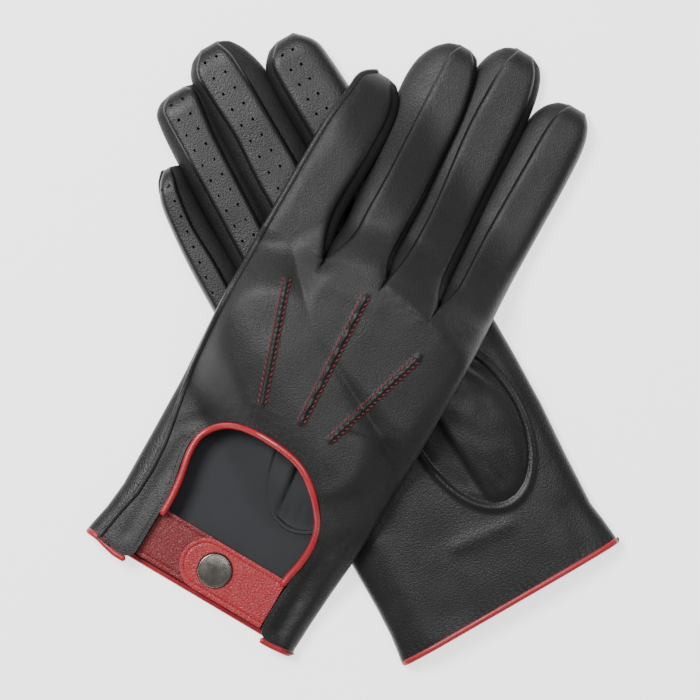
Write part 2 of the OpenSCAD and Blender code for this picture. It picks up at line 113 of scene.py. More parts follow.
def bed(glove, x, y):
    """Height of what the glove lies on: the table, or the other glove and the folded thumbs."""
    if glove == "right":
        return CAP_CLEARANCE * smooth((72 - y) / 32)
    rx, ry = on_right_plan(x, y)
    over = smooth((CROSS_EDGE - abs(rx)) / 38)
    own = smooth((THUMB_EDGE - from_line(x, y, THUMB_LINE["left"])) / THUMB_SLOPE)
    other = smooth((THUMB_EDGE - from_line(rx, ry, THUMB_LINE["right"])) / THUMB_SLOPE)
    other *= smooth((CROSS_EDGE - abs(rx)) / THUMB_SLOPE)
    return CROSS_LIFT * over + THUMB_LIFT * max(own, other)


def node_tree(owner):
    owner.use_nodes = True
    return owner.node_tree


def make_group(name, sockets):
    group = bpy.data.node_groups.new(name, "ShaderNodeTree")
    for direction, label, kind, default in sockets:
        made = group.interface.new_socket(label, in_out=direction, socket_type=kind)
        if default is not None:
            made.default_value = default
    return group, group.nodes.new("NodeGroupInput"), group.nodes.new("NodeGroupOutput")


def link(tree, pairs):
    for a, b in pairs:
        tree.links.new(a, b)


def math_node(tree, operation, a, b, clamp=False):
    node = tree.nodes.new("ShaderNodeMath")
    node.operation = operation
    node.use_clamp = clamp
    for socket, value in zip(node.inputs, (a, b)):
        if isinstance(value, (int, float)):
            socket.default_value = value
        else:
            tree.links.new(value, socket)
    return node.outputs[0]


def build_hide_grain():
    group, ins, outs = make_group(
        "hide_grain",
        [
            ("INPUT", "Pore Scale", "NodeSocketFloat", 1600.0),
            ("INPUT", "Pebble Scale", "NodeSocketFloat", 520.0),
            ("INPUT", "Pebble", "NodeSocketFloat", 0.3),
            ("INPUT", "Crease", "NodeSocketFloat", 0.0),
            ("INPUT", "Mottle Scale", "NodeSocketFloat", 45.0),
            ("OUTPUT", "Height", "NodeSocketFloat", None),
            ("OUTPUT", "Tone", "NodeSocketFloat", None),
        ],
    )
    where = group.nodes.new("ShaderNodeTexCoord").outputs["Object"]
    pores = group.nodes.new("ShaderNodeTexVoronoi")
    pores.feature = "SMOOTH_F1"
    pebbles = group.nodes.new("ShaderNodeTexVoronoi")
    pebbles.feature = "SMOOTH_F1"
    creases = group.nodes.new("ShaderNodeTexVoronoi")
    creases.feature = "DISTANCE_TO_EDGE"
    bend = group.nodes.new("ShaderNodeTexNoise")
    bend.inputs["Scale"].default_value = 260.0
    bent = group.nodes.new("ShaderNodeVectorMath")
    bent.operation = "MULTIPLY_ADD"
    bent.inputs[1].default_value = (0.0011, 0.0011, 0.0011)
    fine = group.nodes.new("ShaderNodeTexNoise")
    fine.inputs["Detail"].default_value = 3.0
    mottle = group.nodes.new("ShaderNodeTexNoise")
    mottle.inputs["Detail"].default_value = 4.0
    for texture in (pores, pebbles, fine, mottle, bend):
        group.links.new(where, texture.inputs["Vector"])
    valley = group.nodes.new("ShaderNodeMapRange")
    valley.interpolation_type = "SMOOTHSTEP"
    valley.inputs["From Max"].default_value = 0.16
    link(
        group,
        [
            (bend.outputs["Color"], bent.inputs[0]),
            (where, bent.inputs[2]),
            (bent.outputs["Vector"], creases.inputs["Vector"]),
            (ins.outputs["Pebble Scale"], creases.inputs["Scale"]),
            (creases.outputs["Distance"], valley.inputs["Value"]),
            (ins.outputs["Pore Scale"], pores.inputs["Scale"]),
            (ins.outputs["Pore Scale"], fine.inputs["Scale"]),
            (ins.outputs["Pebble Scale"], pebbles.inputs["Scale"]),
            (ins.outputs["Mottle Scale"], mottle.inputs["Scale"]),
        ],
    )
    pore_height = math_node(group, "SUBTRACT", 1.0, pores.outputs["Distance"])
    small = math_node(group, "MULTIPLY_ADD", fine.outputs["Fac"], 0.5)
    group.links.new(pore_height, small.node.inputs[2])
    coarse = math_node(group, "MULTIPLY", pebbles.outputs["Distance"], ins.outputs["Pebble"])
    grained = math_node(group, "SUBTRACT", small, coarse)
    lines = math_node(group, "MULTIPLY", valley.outputs["Result"], ins.outputs["Crease"])
    group.links.new(math_node(group, "ADD", grained, lines), outs.inputs["Height"])
    group.links.new(mottle.outputs["Fac"], outs.inputs["Tone"])
    return group


hide_grain = build_hide_grain()


def finish_material(name, dark, light, rough, depth, grain, metallic=0.0, **sockets):
    """One Principled finish: two tones mottled together, a roughness range and a bump."""
    material = bpy.data.materials.new(name)
    tree = node_tree(material)
    shader = tree.nodes["Principled BSDF"]
    group = tree.nodes.new("ShaderNodeGroup")
    group.node_tree = hide_grain
    for label, value in grain.items():
        group.inputs[label].default_value = value
    colour = tree.nodes.new("ShaderNodeMix")
    colour.data_type = "RGBA"
    colour.inputs["A"].default_value = (*dark, 1)
    colour.inputs["B"].default_value = (*light, 1)
    ramp = tree.nodes.new("ShaderNodeMapRange")
    ramp.inputs["From Min"].default_value = 0.3
    ramp.inputs["From Max"].default_value = 0.7
    ramp.inputs["To Min"].default_value = rough[0]
    ramp.inputs["To Max"].default_value = rough[1]
    bump = tree.nodes.new("ShaderNodeBump")
    bump.inputs["Distance"].default_value = depth
    bump.inputs["Strength"].default_value = 1.0
    link(
        tree,
        [
            (group.outputs["Tone"], colour.inputs["Factor"]),
            (colour.outputs["Result"], shader.inputs["Base Color"]),
            (group.outputs["Tone"], ramp.inputs["Value"]),
            (ramp.outputs["Result"], shader.inputs["Roughness"]),
            (group.outputs["Height"], bump.inputs["Height"]),
            (bump.outputs["Normal"], shader.inputs["Normal"]),
        ],
    )
    shader.inputs["Metallic"].default_value = metallic
    for label, value in sockets.items():
        shader.inputs[label.replace("_", " ")].default_value = value
    return material


back_grain = finish_material(
    "black_nappa_back", (0.0060, 0.0060, 0.0064), (0.010, 0.010, 0.0107), (0.42, 0.54), 0.00007,
    {"Pore Scale": 1900.0, "Pebble Scale": 1900.0, "Pebble": 0.3, "Crease": 0.3, "Mottle Scale": 60.0},
    Specular_IOR_Level=0.4,
)
palm_grain = finish_material(
    "black_nappa_palm", (0.0060, 0.0060, 0.0065), (0.010, 0.010, 0.0108), (0.34, 0.46), 0.00007,
    {"Pore Scale": 1900.0, "Pebble Scale": 1900.0, "Pebble": 0.3, "Crease": 0.12, "Mottle Scale": 60.0},
    Specular_IOR_Level=0.4,
)
black_flesh = finish_material(
    "black_flesh_side", (0.023, 0.024, 0.027), (0.031, 0.032, 0.036), (0.85, 0.95), 0.00004,
    {"Pore Scale": 2600.0, "Pebble Scale": 900.0, "Pebble": 0.1, "Mottle Scale": 90.0},
)
black_thread = finish_material(
    "black_thread", (0.012, 0.012, 0.012), (0.03, 0.03, 0.03), (0.6, 0.75), 0.00003,
    {"Pore Scale": 4000.0, "Pebble Scale": 2000.0, "Pebble": 0.3, "Mottle Scale": 800.0},
)

LEATHER = 0.9
HAND_HEIGHT = 10.4
FINGER_HEIGHT = 9.6
SIDE_HEIGHT = 4.2        # of the fold or seam along each outer side
SEAM_HEIGHT = (7.6, 6.6)  # where a fourchette is sewn on, at a finger's left and right
SEAM_LOW = 1.0
TIP_ROUND = 9.0
TIP_HEIGHT = 4.0

# Outer edges of the hand: (y, x)
SIDE = {
    "left": (
        [(0, -42.7), (4, -42), (10, -40.8), (20, -39.9), (40, -40.4), (60, -41), (80, -42), (100, -43),
         (124, -43.8)],
        [(0, 43), (10, 43.3), (25, 44), (37, 44.7), (70, 45.2), (100, 44.7), (131, 44)],
    ),
    "right": (
        [(0, -44), (4, -43.3), (10, -42.5), (20, -42), (40, -41.8), (70, -41.2), (100, -41), (122, -40.5)],
        [(0, 44.7), (8, 44), (15, 43), (25, 43.5), (35, 44), (55, 45.5), (75, 46), (100, 46), (127, 45)],
    ),
}
# Where the fingers part, from the little finger's outer side to the index finger's
PARTING = {
    "left": [(-43.8, 124), (-18.8, 124.5), (4, 130), (24.5, 130.5), (44, 131)],
    "right": [(-40.5, 122), (-25, 123), (-7, 129), (20, 129), (45, 127)],
}
# Each finger from its root: (y, left edge of the lower leather, left edge of the upper
# leather, right edge of the upper leather, right edge of the lower leather)
FINGERS = {
    "left": [
        [(140, -44, -44, -24, -22.5), (165, -44.1, -44.1, -24.3, -23.3), (180, -43.2, -43.2, -25.2, -24.8),
         (188, -41.5, -41.5, -28, -27.5), (192.6, -36.5, -36.5, -32, -32)],
        [(137, -18, -14.6, 1, 0), (150, -19.5, -14.8, 0.2, -2.5), (165, -21.5, -15.2, -0.4, -4.5),
         (190, -27, -17, -2, -8), (203, -27.4, -17.8, -4.5, -9.5), (211, -23.8, -18, -7.6, -11),
         (216.3, -16.8, -15.6, -12, -12.2)],
        [(140, 2, 5.4, 21, 21.3), (152, 0.4, 5.4, 19.8, 20), (165, -1, 4.4, 19, 19.2),
         (190, -5.5, 1, 17.2, 17.2), (208, -7.4, 0.1, 15.4, 15.4), (219, -5.2, 0.5, 12.6, 12.6),
         (225.6, 1.4, 2.6, 8, 8)],
        [(140, 23.6, 26.8, 43.4, 43.4), (152, 22.4, 26.4, 42.8, 42.8), (165, 20.8, 25.7, 42.4, 42.4),
         (190, 18.8, 25.2, 41.6, 41.6), (205, 18.4, 25, 40.6, 40.6), (213, 21.4, 26, 38.4, 38.4),
         (217.8, 27.8, 28.8, 34.6, 34.6)],
    ],
    "right": [
        [(140, -39.6, -39.6, -29.8, -25), (158, -39.2, -39.2, -30, -25.2),
         (172, -38.2, -38.2, -30.4, -25.2), (184, -36.6, -36.6, -29, -25),
         (190.5, -33.6, -33.6, -27.4, -25.4), (194.6, -29.5, -29.5, -27, -26.6)],
        [(140, -24, -21.6, -9.4, -7.7), (155, -23.6, -21.2, -9.4, -7.7), (175, -23.4, -20.6, -8.6, -7.4),
         (195, -22.8, -20.1, -7.6, -7), (208, -21.4, -19.8, -6, -5.6), (213.5, -19.4, -18.8, -5.6, -5.4),
         (217, -14.5, -14.2, -8.4, -8.2)],
        [(140, -6.6, -3.2, 13.6, 20), (155, -6.3, -3, 13.4, 19.8), (175, -6, -2.8, 13.2, 19.4),
         (192, -5.6, -1.8, 13, 19.6), (206, -4.6, -2.4, 12.9, 20), (218, -2.6, -2.2, 12.2, 16.4),
         (225.2, 3, 3.4, 9.6, 10)],
        [(140, 21.4, 22.4, 44.4, 44.4), (160, 21.2, 22.2, 44, 44), (180, 20.9, 21.9, 43.2, 43.2),
         (200, 20.9, 21.8, 42, 42), (208, 22.4, 22.9, 40.4, 40.4), (214.2, 28, 28.4, 35, 35)],
    ],
}
# The keyhole's edge, from the hem at the little finger's side round to the other tab
KEYHOLE = [
    (-28.5, -1.9), (-25.2, -0.9), (-23.6, 2), (-23.4, 9), (-23.4, 16), (-23.6, 23), (-24.6, 31),
    (-26.2, 38.5), (-26.8, 45), (-24.6, 52.5), (-18.5, 58.6), (-10.5, 61.1), (-2, 61.6), (6.5, 60.9),
    (14.5, 57.8), (21.5, 52.6), (27, 45.6), (30, 38), (30.6, 31), (29.6, 23), (28.7, 16), (28.4, 9),
    (28.7, 2.4), (30.2, -0.9), (33, -1.8),
]
KEYHOLE_SHOULDERS = (0.396, 0.637)  # where its sides turn into its arch, as parts of the list
# How far the little finger's side seam has rolled in over the back of the hand: (y, distance)
SEAM_ROLL = [
    (0, 5.2), (10, 4.8), (20, 5.9), (30, 6.4), (40, 5.9), (50, 4.3), (60, 2.7), (70, 1.9), (90, 1.5),
]
ROLL_FADE = 12           # the last stretch before the fingertip, over which the roll fades out
THUMB_OVAL = {"left": ((18.2, 66), (17.9, 29)), "right": ((18.6, 62), (18.2, 30))}

COLUMNS = 32             # across each finger
HAND_ROWS = 180
FINGER_ROWS = 120
ALL_ROWS = HAND_ROWS + FINGER_ROWS
ALL_COLUMNS = 4 * COLUMNS
BACK_BLOCK = (24, 104, 0, 77)     # first and last column, first and last row of the opening
PALM_BLOCK = (69, 107, 61, 122)
HEM_EASE = 0.125         # part of the keyhole's height over which rows straighten from the hem
ROOT_BEFORE = 9          # rows before and after the fingers' roots where hand turns into finger
ROOT_AFTER = 2
TIP_CROWDING = 1.25      # rows lie closer together towards the fingertips
FAR = 100.0              # from a fingertip, for every place on the hand
LITTLE_WIDTH = 19.0       # of the little finger
WRAP_COLUMNS = 10


def upper_side(glove):
    return "back" if glove == "left" else "palm"


def side_x(glove, y, right):
    return table(SIDE[glove][1 if right else 0], y)


def seam_roll(side, y):
    return table(SEAM_ROLL, y) if side == "back" else 0.0


def left_edge(glove, side, y):
    return side_x(glove, y, False) + seam_roll(side, y)


def oval(glove, degrees):
    (cx, cy), (hx, hy) = THUMB_OVAL[glove]
    a = math.radians(degrees)
    return cx + hx * math.cos(a), cy + hy * math.sin(a)


def hem(glove, side, t):
    """The hem's own line, t from 0 at the little finger's side to 1."""
    x = mix(left_edge(glove, side, 0), side_x(glove, 0, True), t)
    dip = 0.0 if glove == "right" or side == "palm" else 1.0
    return x, dip * table([(-42, 0.6), (-30, -1.9), (-28, -1.9), (30, -1.8), (34, -1.9), (43, -1.2)], x)


def rim(glove, side, part, t):
    """A side of the keyhole or of the thumb's oval. The sides run upwards, top and bottom to the right."""
    if side == "back":
        low, high = KEYHOLE_SHOULDERS
        span = {"left": (0, low), "top": (low, high), "right": (1, high), "bottom": (0, 1)}[part]
        return spline(KEYHOLE, mix(*span, t))[:2]
    span = {"left": (225, 135), "top": (135, 45), "right": (-45, 45), "bottom": (225, 315)}[part]
    return oval(glove, mix(*span, t))


def between(a, b, t):
    return mix(a[0], b[0], t), mix(a[1], b[1], t)


def across_rim(glove, side, c, part):
    block = BACK_BLOCK if side == "back" else PALM_BLOCK
    a, b = rim(glove, side, part, 0), rim(glove, side, part, 1)
    if c <= block[0]:
        return between((left_edge(glove, side, a[1]), a[1]), a, c / block[0])
    if c >= block[1]:
        return between(b, (side_x(glove, b[1], True), b[1]), (c - block[1]) / (ALL_COLUMNS - block[1]))
    return rim(glove, side, part, (c - block[0]) / (block[1] - block[0]))


def parting_point(glove, side, c):
    f = min(3, int(c // COLUMNS))
    p = between(PARTING[glove][f], PARTING[glove][f + 1], c / COLUMNS - f)
    return p[0] + seam_roll(side, p[1]) * (1 - c / ALL_COLUMNS) ** 4, p[1]


def hand_net(glove, side, c, r):
    block = BACK_BLOCK if side == "back" else PALM_BLOCK
    if r >= block[3]:
        t = (r - block[3]) / (HAND_ROWS - block[3])
        a, b = across_rim(glove, side, c, "top"), parting_point(glove, side, c)
        return between(a, b, t)
    if r <= block[2] and side == "palm":
        return between(hem(glove, side, c / ALL_COLUMNS), across_rim(glove, side, c, "bottom"), r / block[2])
    t = (r - block[2]) / (block[3] - block[2])
    if c <= block[0]:
        p = rim(glove, side, "left", t)
        q = left_edge(glove, side, p[1]), p[1]
        if side == "back":
            q = q[0], mix(hem(glove, side, 0)[1], p[1], smooth(t / HEM_EASE))
        return between(q, p, c / block[0])
    p = rim(glove, side, "right", t)
    q = side_x(glove, p[1], True), p[1]
    if side == "back":
        q = q[0], mix(hem(glove, side, 1)[1], p[1], smooth(t / HEM_EASE))
    return between(p, q, (c - block[1]) / (ALL_COLUMNS - block[1]))


@functools.cache
def side_miss(glove, side, right, r):
    """How far a row's end lies from the glove's own side line."""
    x, y = hand_net(glove, side, ALL_COLUMNS if right else 0, r)
    return (side_x(glove, y, True) if right else left_edge(glove, side, y)) - x


def hand_place(glove, side, c, r):
    """A place on the hand's net, its two ends drawn out to the side lines."""
    x, y = hand_net(glove, side, c, r)
    t = c / ALL_COLUMNS
    return x + side_miss(glove, side, False, r) * (1 - t) ** 3 + side_miss(glove, side, True, r) * t**3, y


def finger_edges(glove, side, f, t):
    """(y, left, right) of a finger's leather, t from 0 at its root to 1 at its tip."""
    upper = side == upper_side(glove)
    rows = FINGERS[glove][f]
    a, b = PARTING[glove][f], PARTING[glove][f + 1]
    left = [a] + [(row[2] if upper else row[1], row[0]) for row in rows]
    right = [b] + [(row[3] if upper else row[4], row[0]) for row in rows]
    return spline(left, t), spline(right, t)


def finger_place(glove, side, f, q, t):
    a, b = finger_edges(glove, side, f, 1 - (1 - t) ** TIP_CROWDING)
    x, y = between(a, b, (q + 1) / 2)
    if f == 0:
        to_tip = FINGERS[glove][0][-1][0] - y
        x += seam_roll(side, y) * ((1 - q) / 2) * smooth(to_tip / ROLL_FADE)
    return x, y


def across(glove, x, y):
    a, b = side_x(glove, y, False), side_x(glove, y, True)
    return max(-1.0, min(1.0, (2 * x - a - b) / (b - a)))


# Soft folds and dents of each upper leather: (from, to, half width, height)
FOLDS = {
    "left": [
        ((-14, 117), (6, 120), 3.0, 0.25),
        ((5, 128.5), (30, 123.8), 2.0, 0.3), ((20, 77), (35, 80), 1.5, -0.3),
        ((20, 79.5), (36, 83), 2.2, 0.25),
        ((-31, 66), (-12, 67.5), 4.5, 0.6), ((-24, 58), (-34, 47), 3.0, -0.4),
        ((40.3, 0), (40.6, 44), 2.2, 0.9), ((34.5, 4), (34.5, 36), 2.8, -0.9),
        ((-29.5, 6), (-29, 44), 2.6, -0.5), ((24, 60), (40, 50), 5.0, -0.4),
        ((-30, 84), (-24, 96), 6.0, -0.3), ((10, 92), (6, 108), 7.0, 0.3), ((30, 92), (38, 118), 6.0, -0.3),
    ],
    "right": [
        ((-31, 2), (-30, 40), 4.0, 0.5), ((33, 4), (35, 18), 4.0, -0.4), ((41, 30), (41.5, 78), 3.0, 0.5),
        ((-20, 8), (-12, 30), 8.0, -0.4), ((-6, 26), (14, 24), 3.0, 0.35),
    ],
}
# Places on the left glove's back where the hide is crumpled: (middle, half widths, strength)
CRUMPLES = [((-15, 64), (17, 7), 1.0), ((20, 126), (16, 4), 0.8), ((37, 22), (6, 22), 0.5)]
OVAL_RADIUS = 22         # of the thumb's oval, roughly
# The three raised points on the back of the hand, from wrist to knuckles
POINTS = (((-11.5, 70.5), (-26.3, 112.5)), ((3.5, 72), (0.6, 121)), ((15.5, 72), (27.3, 112.5)))


def past_oval(glove, x, y):
    """About how far a place lies outside the thumb's oval."""
    (cx, cy), (hx, hy) = THUMB_OVAL[glove]
    return (math.hypot((x - cx) / hx, (y - cy) / hy) - 1) * OVAL_RADIUS


def relief(glove, x, y):
    """The upper leather's own unevenness: folds, slow waves and the fine wrinkles near the keyhole."""
    z = 0.0
    for start, end, width, height in FOLDS[glove]:
        d = from_line(x, y, (start, end))
        if d < 3 * width:
            z += height * math.exp(-((d / width) ** 2))
    seed = 7.3 if glove == "left" else 41.9
    z += 0.55 * noise.noise(Vector((x / 26, y / 34, seed)))
    z += 0.16 * noise.noise(Vector((x / 9, y / 11, seed + 5)))
    if glove == "left":
        for start, end in POINTS:
            z += 1.0 * math.exp(-((from_line(x, y, (start, end)) / 0.8) ** 2))
        crumple = 0.0
        for (cx, cy), (wide, long), strength in CRUMPLES:
            crumple += strength * math.exp(-(((x - cx) / wide) ** 2) - ((y - cy) / long) ** 2)
        z += 0.3 * crumple * noise.noise(Vector((x / 2.2, y / 1.3, seed + 9)))
    else:
        z += 1.0 * math.exp(-(((past_oval(glove, x, y) - 1.6) / 1.2) ** 2))
        z += 0.14 * math.sin(x * 2.6) * math.exp(-(((y - 1.9) / 1.3) ** 2))
    return z


def upper_height(glove, x, y, f=1, q=0.0, fingers=0.0, to_tip=FAR):
    s = abs(across(glove, x, y))
    hand = SIDE_HEIGHT + (HAND_HEIGHT - SIDE_HEIGHT) * math.sqrt(1 - s**4)
    outer = (f == 0 and q < 0) or (f == 3 and q > 0)
    edge = SIDE_HEIGHT if outer else SEAM_HEIGHT[0 if q < 0 else 1]
    finger = edge + (FINGER_HEIGHT - edge) * math.sqrt(max(0.0, 1 - abs(q) ** (4 if outer else 9)))
    full = mix(hand, finger, fingers) + relief(glove, x, y) * min(1.0, 6 * (1 - s))
    d = min(1.0, max(0.0, to_tip / TIP_ROUND))
    return mix(TIP_HEIGHT, full, math.sqrt(1 - (1 - d) ** 2))


def lower_height(glove, x, y, f=1, q=0.0, fingers=0.0, to_tip=FAR):
    s = abs(across(glove, x, y))
    hand = SIDE_HEIGHT * (1 - math.sqrt(1 - s**6))
    outer = (f == 0 and q < 0) or (f == 3 and q > 0)
    edge = SIDE_HEIGHT if outer else SEAM_LOW
    finger = edge * (1 - math.sqrt(max(0.0, 1 - abs(q) ** 6)))
    d = min(1.0, max(0.0, to_tip / TIP_ROUND))
    return mix(TIP_HEIGHT, mix(hand, finger, fingers), math.sqrt(1 - (1 - d) ** 2))


def net_place(glove, side, f, i, r):
    """A net point's plan, how far it is from hand to finger, and its distance from the tip."""
    fingers = smooth((r - HAND_ROWS + ROOT_BEFORE) / (ROOT_BEFORE + ROOT_AFTER))
    if r <= HAND_ROWS:
        return *hand_place(glove, side, f * COLUMNS + i, r), fingers, FAR
    x, y = finger_place(glove, side, f, 2 * i / COLUMNS - 1, (r - HAND_ROWS) / FINGER_ROWS)
    return x, y, fingers, FINGERS[glove][f][-1][0] - y


def trank_point(glove, side, f, i, r):
    """One point of a leather's outer face, in the row's frame."""
    q = 2 * i / COLUMNS - 1
    x, y, fingers, to_tip = net_place(glove, side, f, i, r)
    if f == 0 and side == "back":
        q += (1 - q) * seam_roll(side, y) / LITTLE_WIDTH
    height = upper_height if side == upper_side(glove) else lower_height
    return to_row(glove, x, y, bed(glove, x, y) + height(glove, x, y, f, q, fingers, to_tip))


def wrap_point(glove, k, r):
    """The palm's leather beyond its side, up to the seam: k from 0 at the side to 1."""
    x, y, fingers, to_tip = net_place(glove, "palm", 0, 0, r)
    roll = seam_roll("back", y) * k**1.6 * smooth(to_tip / ROLL_FADE)
    height = upper_height if upper_side(glove) == "back" else lower_height
    q = -1 + 2 * roll / LITTLE_WIDTH
    z = bed(glove, x + roll, y) + height(glove, x + roll, y, 0, q, fingers, to_tip)
    return to_row(glove, x + roll, y, z)


def trank_leather(glove, side, perforations=()):
    """Returns the leather's mesh and its sewn edges: {(finger, 'left' or 'right'): points}."""
    block = BACK_BLOCK if side == "back" else PALM_BLOCK
    bm = bmesh.new()
    edges = {}
    for f in range(4):
        grid = bmesh.ops.create_grid(bm, x_segments=COLUMNS, y_segments=ALL_ROWS, size=0.5)["verts"]
        step = {v: (round((v.co.x + 0.5) * COLUMNS), round((v.co.y + 0.5) * ALL_ROWS)) for v in grid}
        faces = {face for v in grid for face in v.link_faces}
        cut = []
        for face in faces:
            c = f * COLUMNS + min(step[v][0] for v in face.verts)
            r = min(step[v][1] for v in face.verts)
            if block[0] <= c < block[1] and block[2] <= r < block[3]:
                cut.append(face)
        bmesh.ops.delete(bm, geom=cut, context="FACES")
        at = {place: v for v, place in step.items() if v.is_valid}
        for (i, r), v in at.items():
            v.co = trank_point(glove, side, f, i, r)
        for name, i in (("left", 0), ("right", COLUMNS)):
            edges[f, name] = [at[i, r].co.copy() for r in range(HAND_ROWS, ALL_ROWS + 1)]
        for x, y, finger in perforations:
            if finger == f:
                punch(bm, at, to_row(glove, x, y, 0))
    if side == "palm":
        wrap = bmesh.ops.create_grid(bm, x_segments=WRAP_COLUMNS, y_segments=ALL_ROWS, size=0.5)["verts"]
        for v in wrap:
            v.co = wrap_point(glove, 0.5 - v.co.x, round((v.co.y + 0.5) * ALL_ROWS))
    bmesh.ops.remove_doubles(bm, verts=bm.verts, dist=1e-6)
    edges["side"] = [trank_point(glove, side, 0, 0, r) for r in range(ALL_ROWS + 1)]
    edges["fold"] = [trank_point(glove, side, 3, COLUMNS, r) for r in range(ALL_ROWS + 1)]
    return bm, edges


PUNCH_RADIUS = 0.00056


def punch(bm, at, centre):
    """Opens a round hole at the grid point nearest to centre."""
    inner = [p for p, v in at.items() if 0 < p[0] < COLUMNS and HAND_ROWS < p[1] < ALL_ROWS and v.is_valid]
    i, r = min(inner, key=lambda p: (at[p].co.xy - centre.xy).length)
    middle = at[i, r]
    ring = [(i + a, r + b) for a in (-1, 0, 1) for b in (-1, 0, 1) if a or b]
    for place in ring:
        v = at[place]
        away = v.co.xy - centre.xy
        t = PUNCH_RADIUS / max(away.length, 1e-9)
        z = mix(middle.co.z, v.co.z, min(1.0, t))
        v.co = (centre.x + away.x * t, centre.y + away.y * t, z)
    bmesh.ops.delete(bm, geom=[middle], context="VERTS")
    del at[i, r]


def new_piece(name, bm, materials, body):
    mesh = bpy.data.meshes.new(name)
    bm.to_mesh(mesh)
    bm.free()
    mesh.shade_smooth()
    piece = bpy.data.objects.new(name, mesh)
    bpy.context.scene.collection.objects.link(piece)
    for material in materials:
        mesh.materials.append(material)
    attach(piece, body)
    return piece


CUT_EDGE = math.radians(48)


def solidify(piece, thickness, inside=0):
    """Gives a skin its wall, inwards from the face that shows, with crisp cut edges."""
    wall = piece.modifiers.new("wall", "SOLIDIFY")
    wall.thickness = thickness
    wall.offset = -1
    wall.material_offset = inside
    bpy.context.view_layer.update()
    walled = piece.evaluated_get(bpy.context.evaluated_depsgraph_get())
    mesh = bpy.data.meshes.new_from_object(walled)
    piece.modifiers.clear()
    piece.data = mesh
    mesh.shade_smooth()
    mesh.set_sharp_from_angle(angle=CUT_EDGE)


# Two rows of punched holes down each palm finger: (finger, first y, last y, rows' x at each)
PUNCHED = {
    "right": [(0, 188.5, 147.8, (-33.6, -30.8), (-36.3, -36.3)), (1, 213, 134, (-15.7, -11), (-18.8, -14.2)),
              (2, 220, 136, (2.3, 7), (2.6, 7.2)), (3, 208.5, 136, (27.5, 31.7), (27.5, 31.7))],
    "left": [(0, 186, 140, (-37, -32.4), (-36, -31.4)), (1, 210, 140, (-18.5, -13.8), (-11, -6.4)),
             (2, 219, 140, (2.3, 7), (9, 13.6)), (3, 211, 140, (29, 33.6), (31, 35.6))],
}
PUNCH_PITCH = 6.25


def punched_places(glove):
    for f, top, low, at_top, at_low in PUNCHED[glove]:
        count = round((top - low) / PUNCH_PITCH)
        for k in range(count + 1):
            t = k / count
            xs = {round(mix(a, b, t), 2) for a, b in zip(at_top, at_low)}
            if max(xs) - min(xs) < 2.5:
                xs = {max(xs)}
            for x in xs:
                yield x, mix(top, low, t), f


trank_edges = {}
for glove in ("right", "left"):
    for side in ("back", "palm"):
        holes = list(punched_places(glove)) if side == "palm" else []
        bm, trank_edges[glove, side] = trank_leather(glove, side, holes)
        if side != upper_side(glove):
            bmesh.ops.reverse_faces(bm, faces=bm.faces)
        hide = back_grain if side == "back" else palm_grain
        leather = new_piece(f"{glove}_{side}_leather", bm, [hide, black_flesh], f"{glove}_glove")
        solidify(leather, LEATHER * MM, 1)
        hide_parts(f"{glove}_{side}")

# ---------------------------------------------------------------------------------------
# The fourchettes: forked strips of the same nappa that make the fingers' sides. Each runs down
# one finger, round the crotch and up the next, and is sewn to the back and to the palm.
STRIP_COLUMNS = 10
BULGE = 2.5
STRIP_LEATHER = 0.7


def fourchette_strip(glove, f):
    upper, lower = ("back", "palm") if glove == "left" else ("palm", "back")
    down = list(range(FINGER_ROWS - 2, 0, -1))
    stations = [(f, "right", k, 1.0) for k in down] + [(f + 1, "left", k, -1.0) for k in [0] + down[::-1]]
    bm = bmesh.new()
    bmesh.ops.create_grid(bm, x_segments=STRIP_COLUMNS, y_segments=len(stations) - 1, size=0.5)
    c, s = math.cos(TURN[glove]), math.sin(TURN[glove])
    for v in bm.verts:
        finger, edge, k, out = stations[round((v.co.y + 0.5) * (len(stations) - 1))]
        t = v.co.x + 0.5
        top = trank_edges[glove, upper][finger, edge][k]
        foot = trank_edges[glove, lower][finger, edge][k]
        full = BULGE * MM * smooth(k / 12) * smooth((FINGER_ROWS - k) / 14)
        swell = out * full * math.sin(math.pi * t) ** 0.8
        v.co = top.lerp(foot, t) + Vector((c * swell, s * swell, 0))
    bmesh.ops.reverse_faces(bm, faces=bm.faces)
    bmesh.ops.remove_doubles(bm, verts=bm.verts, dist=3e-5)
    return bm


for glove in ("right", "left"):
    for f, name in enumerate(("little_ring", "ring_middle", "middle_index")):
        bm = fourchette_strip(glove, f)
        strip = new_piece(f"{glove}_fourchette_{name}_strip", bm, [back_grain, black_flesh], f"{glove}_glove")
        solidify(strip, STRIP_LEATHER * MM, 1)
        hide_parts(f"{glove}_fourchette_{name}")

# ---------------------------------------------------------------------------------------
# The thumbs: a nappa sleeve sewn into the oval in each palm. Both are folded flat, the left one
# under its palm and the right one on top of it.
THUMB_SIDES = 96
MOUTH_RINGS = 56
SLEEVE_RINGS = 30
THUMB_PATH = {
    "left": ((9, 78), (-2, 84), (-15, 90), (-27, 95)),
    "right": ((14, 82), (11, 95), (7, 109), (3, 122)),
}
THUMB_HALF = {"left": 12.0, "right": 12.5}
THUMB_THICK = 6.0
THUMB_LEATHER = 0.8
THUMB_GAP = 0.45
MOUTH_LAP = 0.4          # the sleeve's mouth reaches this far under the palm's edge
MOUTH_SINK = 0.2
THUMB_ROUND = 0.28       # the last part of the sleeve, which rounds to its tip
# The fold at the thumb's root, as an angle round the oval: the leather is hollow on one side of
# it and stands up on the other
ROOT_FOLD = math.radians(252)


def palm_face(glove, x, y):
    height = upper_height if glove == "right" else lower_height
    return bed(glove, x, y) + height(glove, x, y)


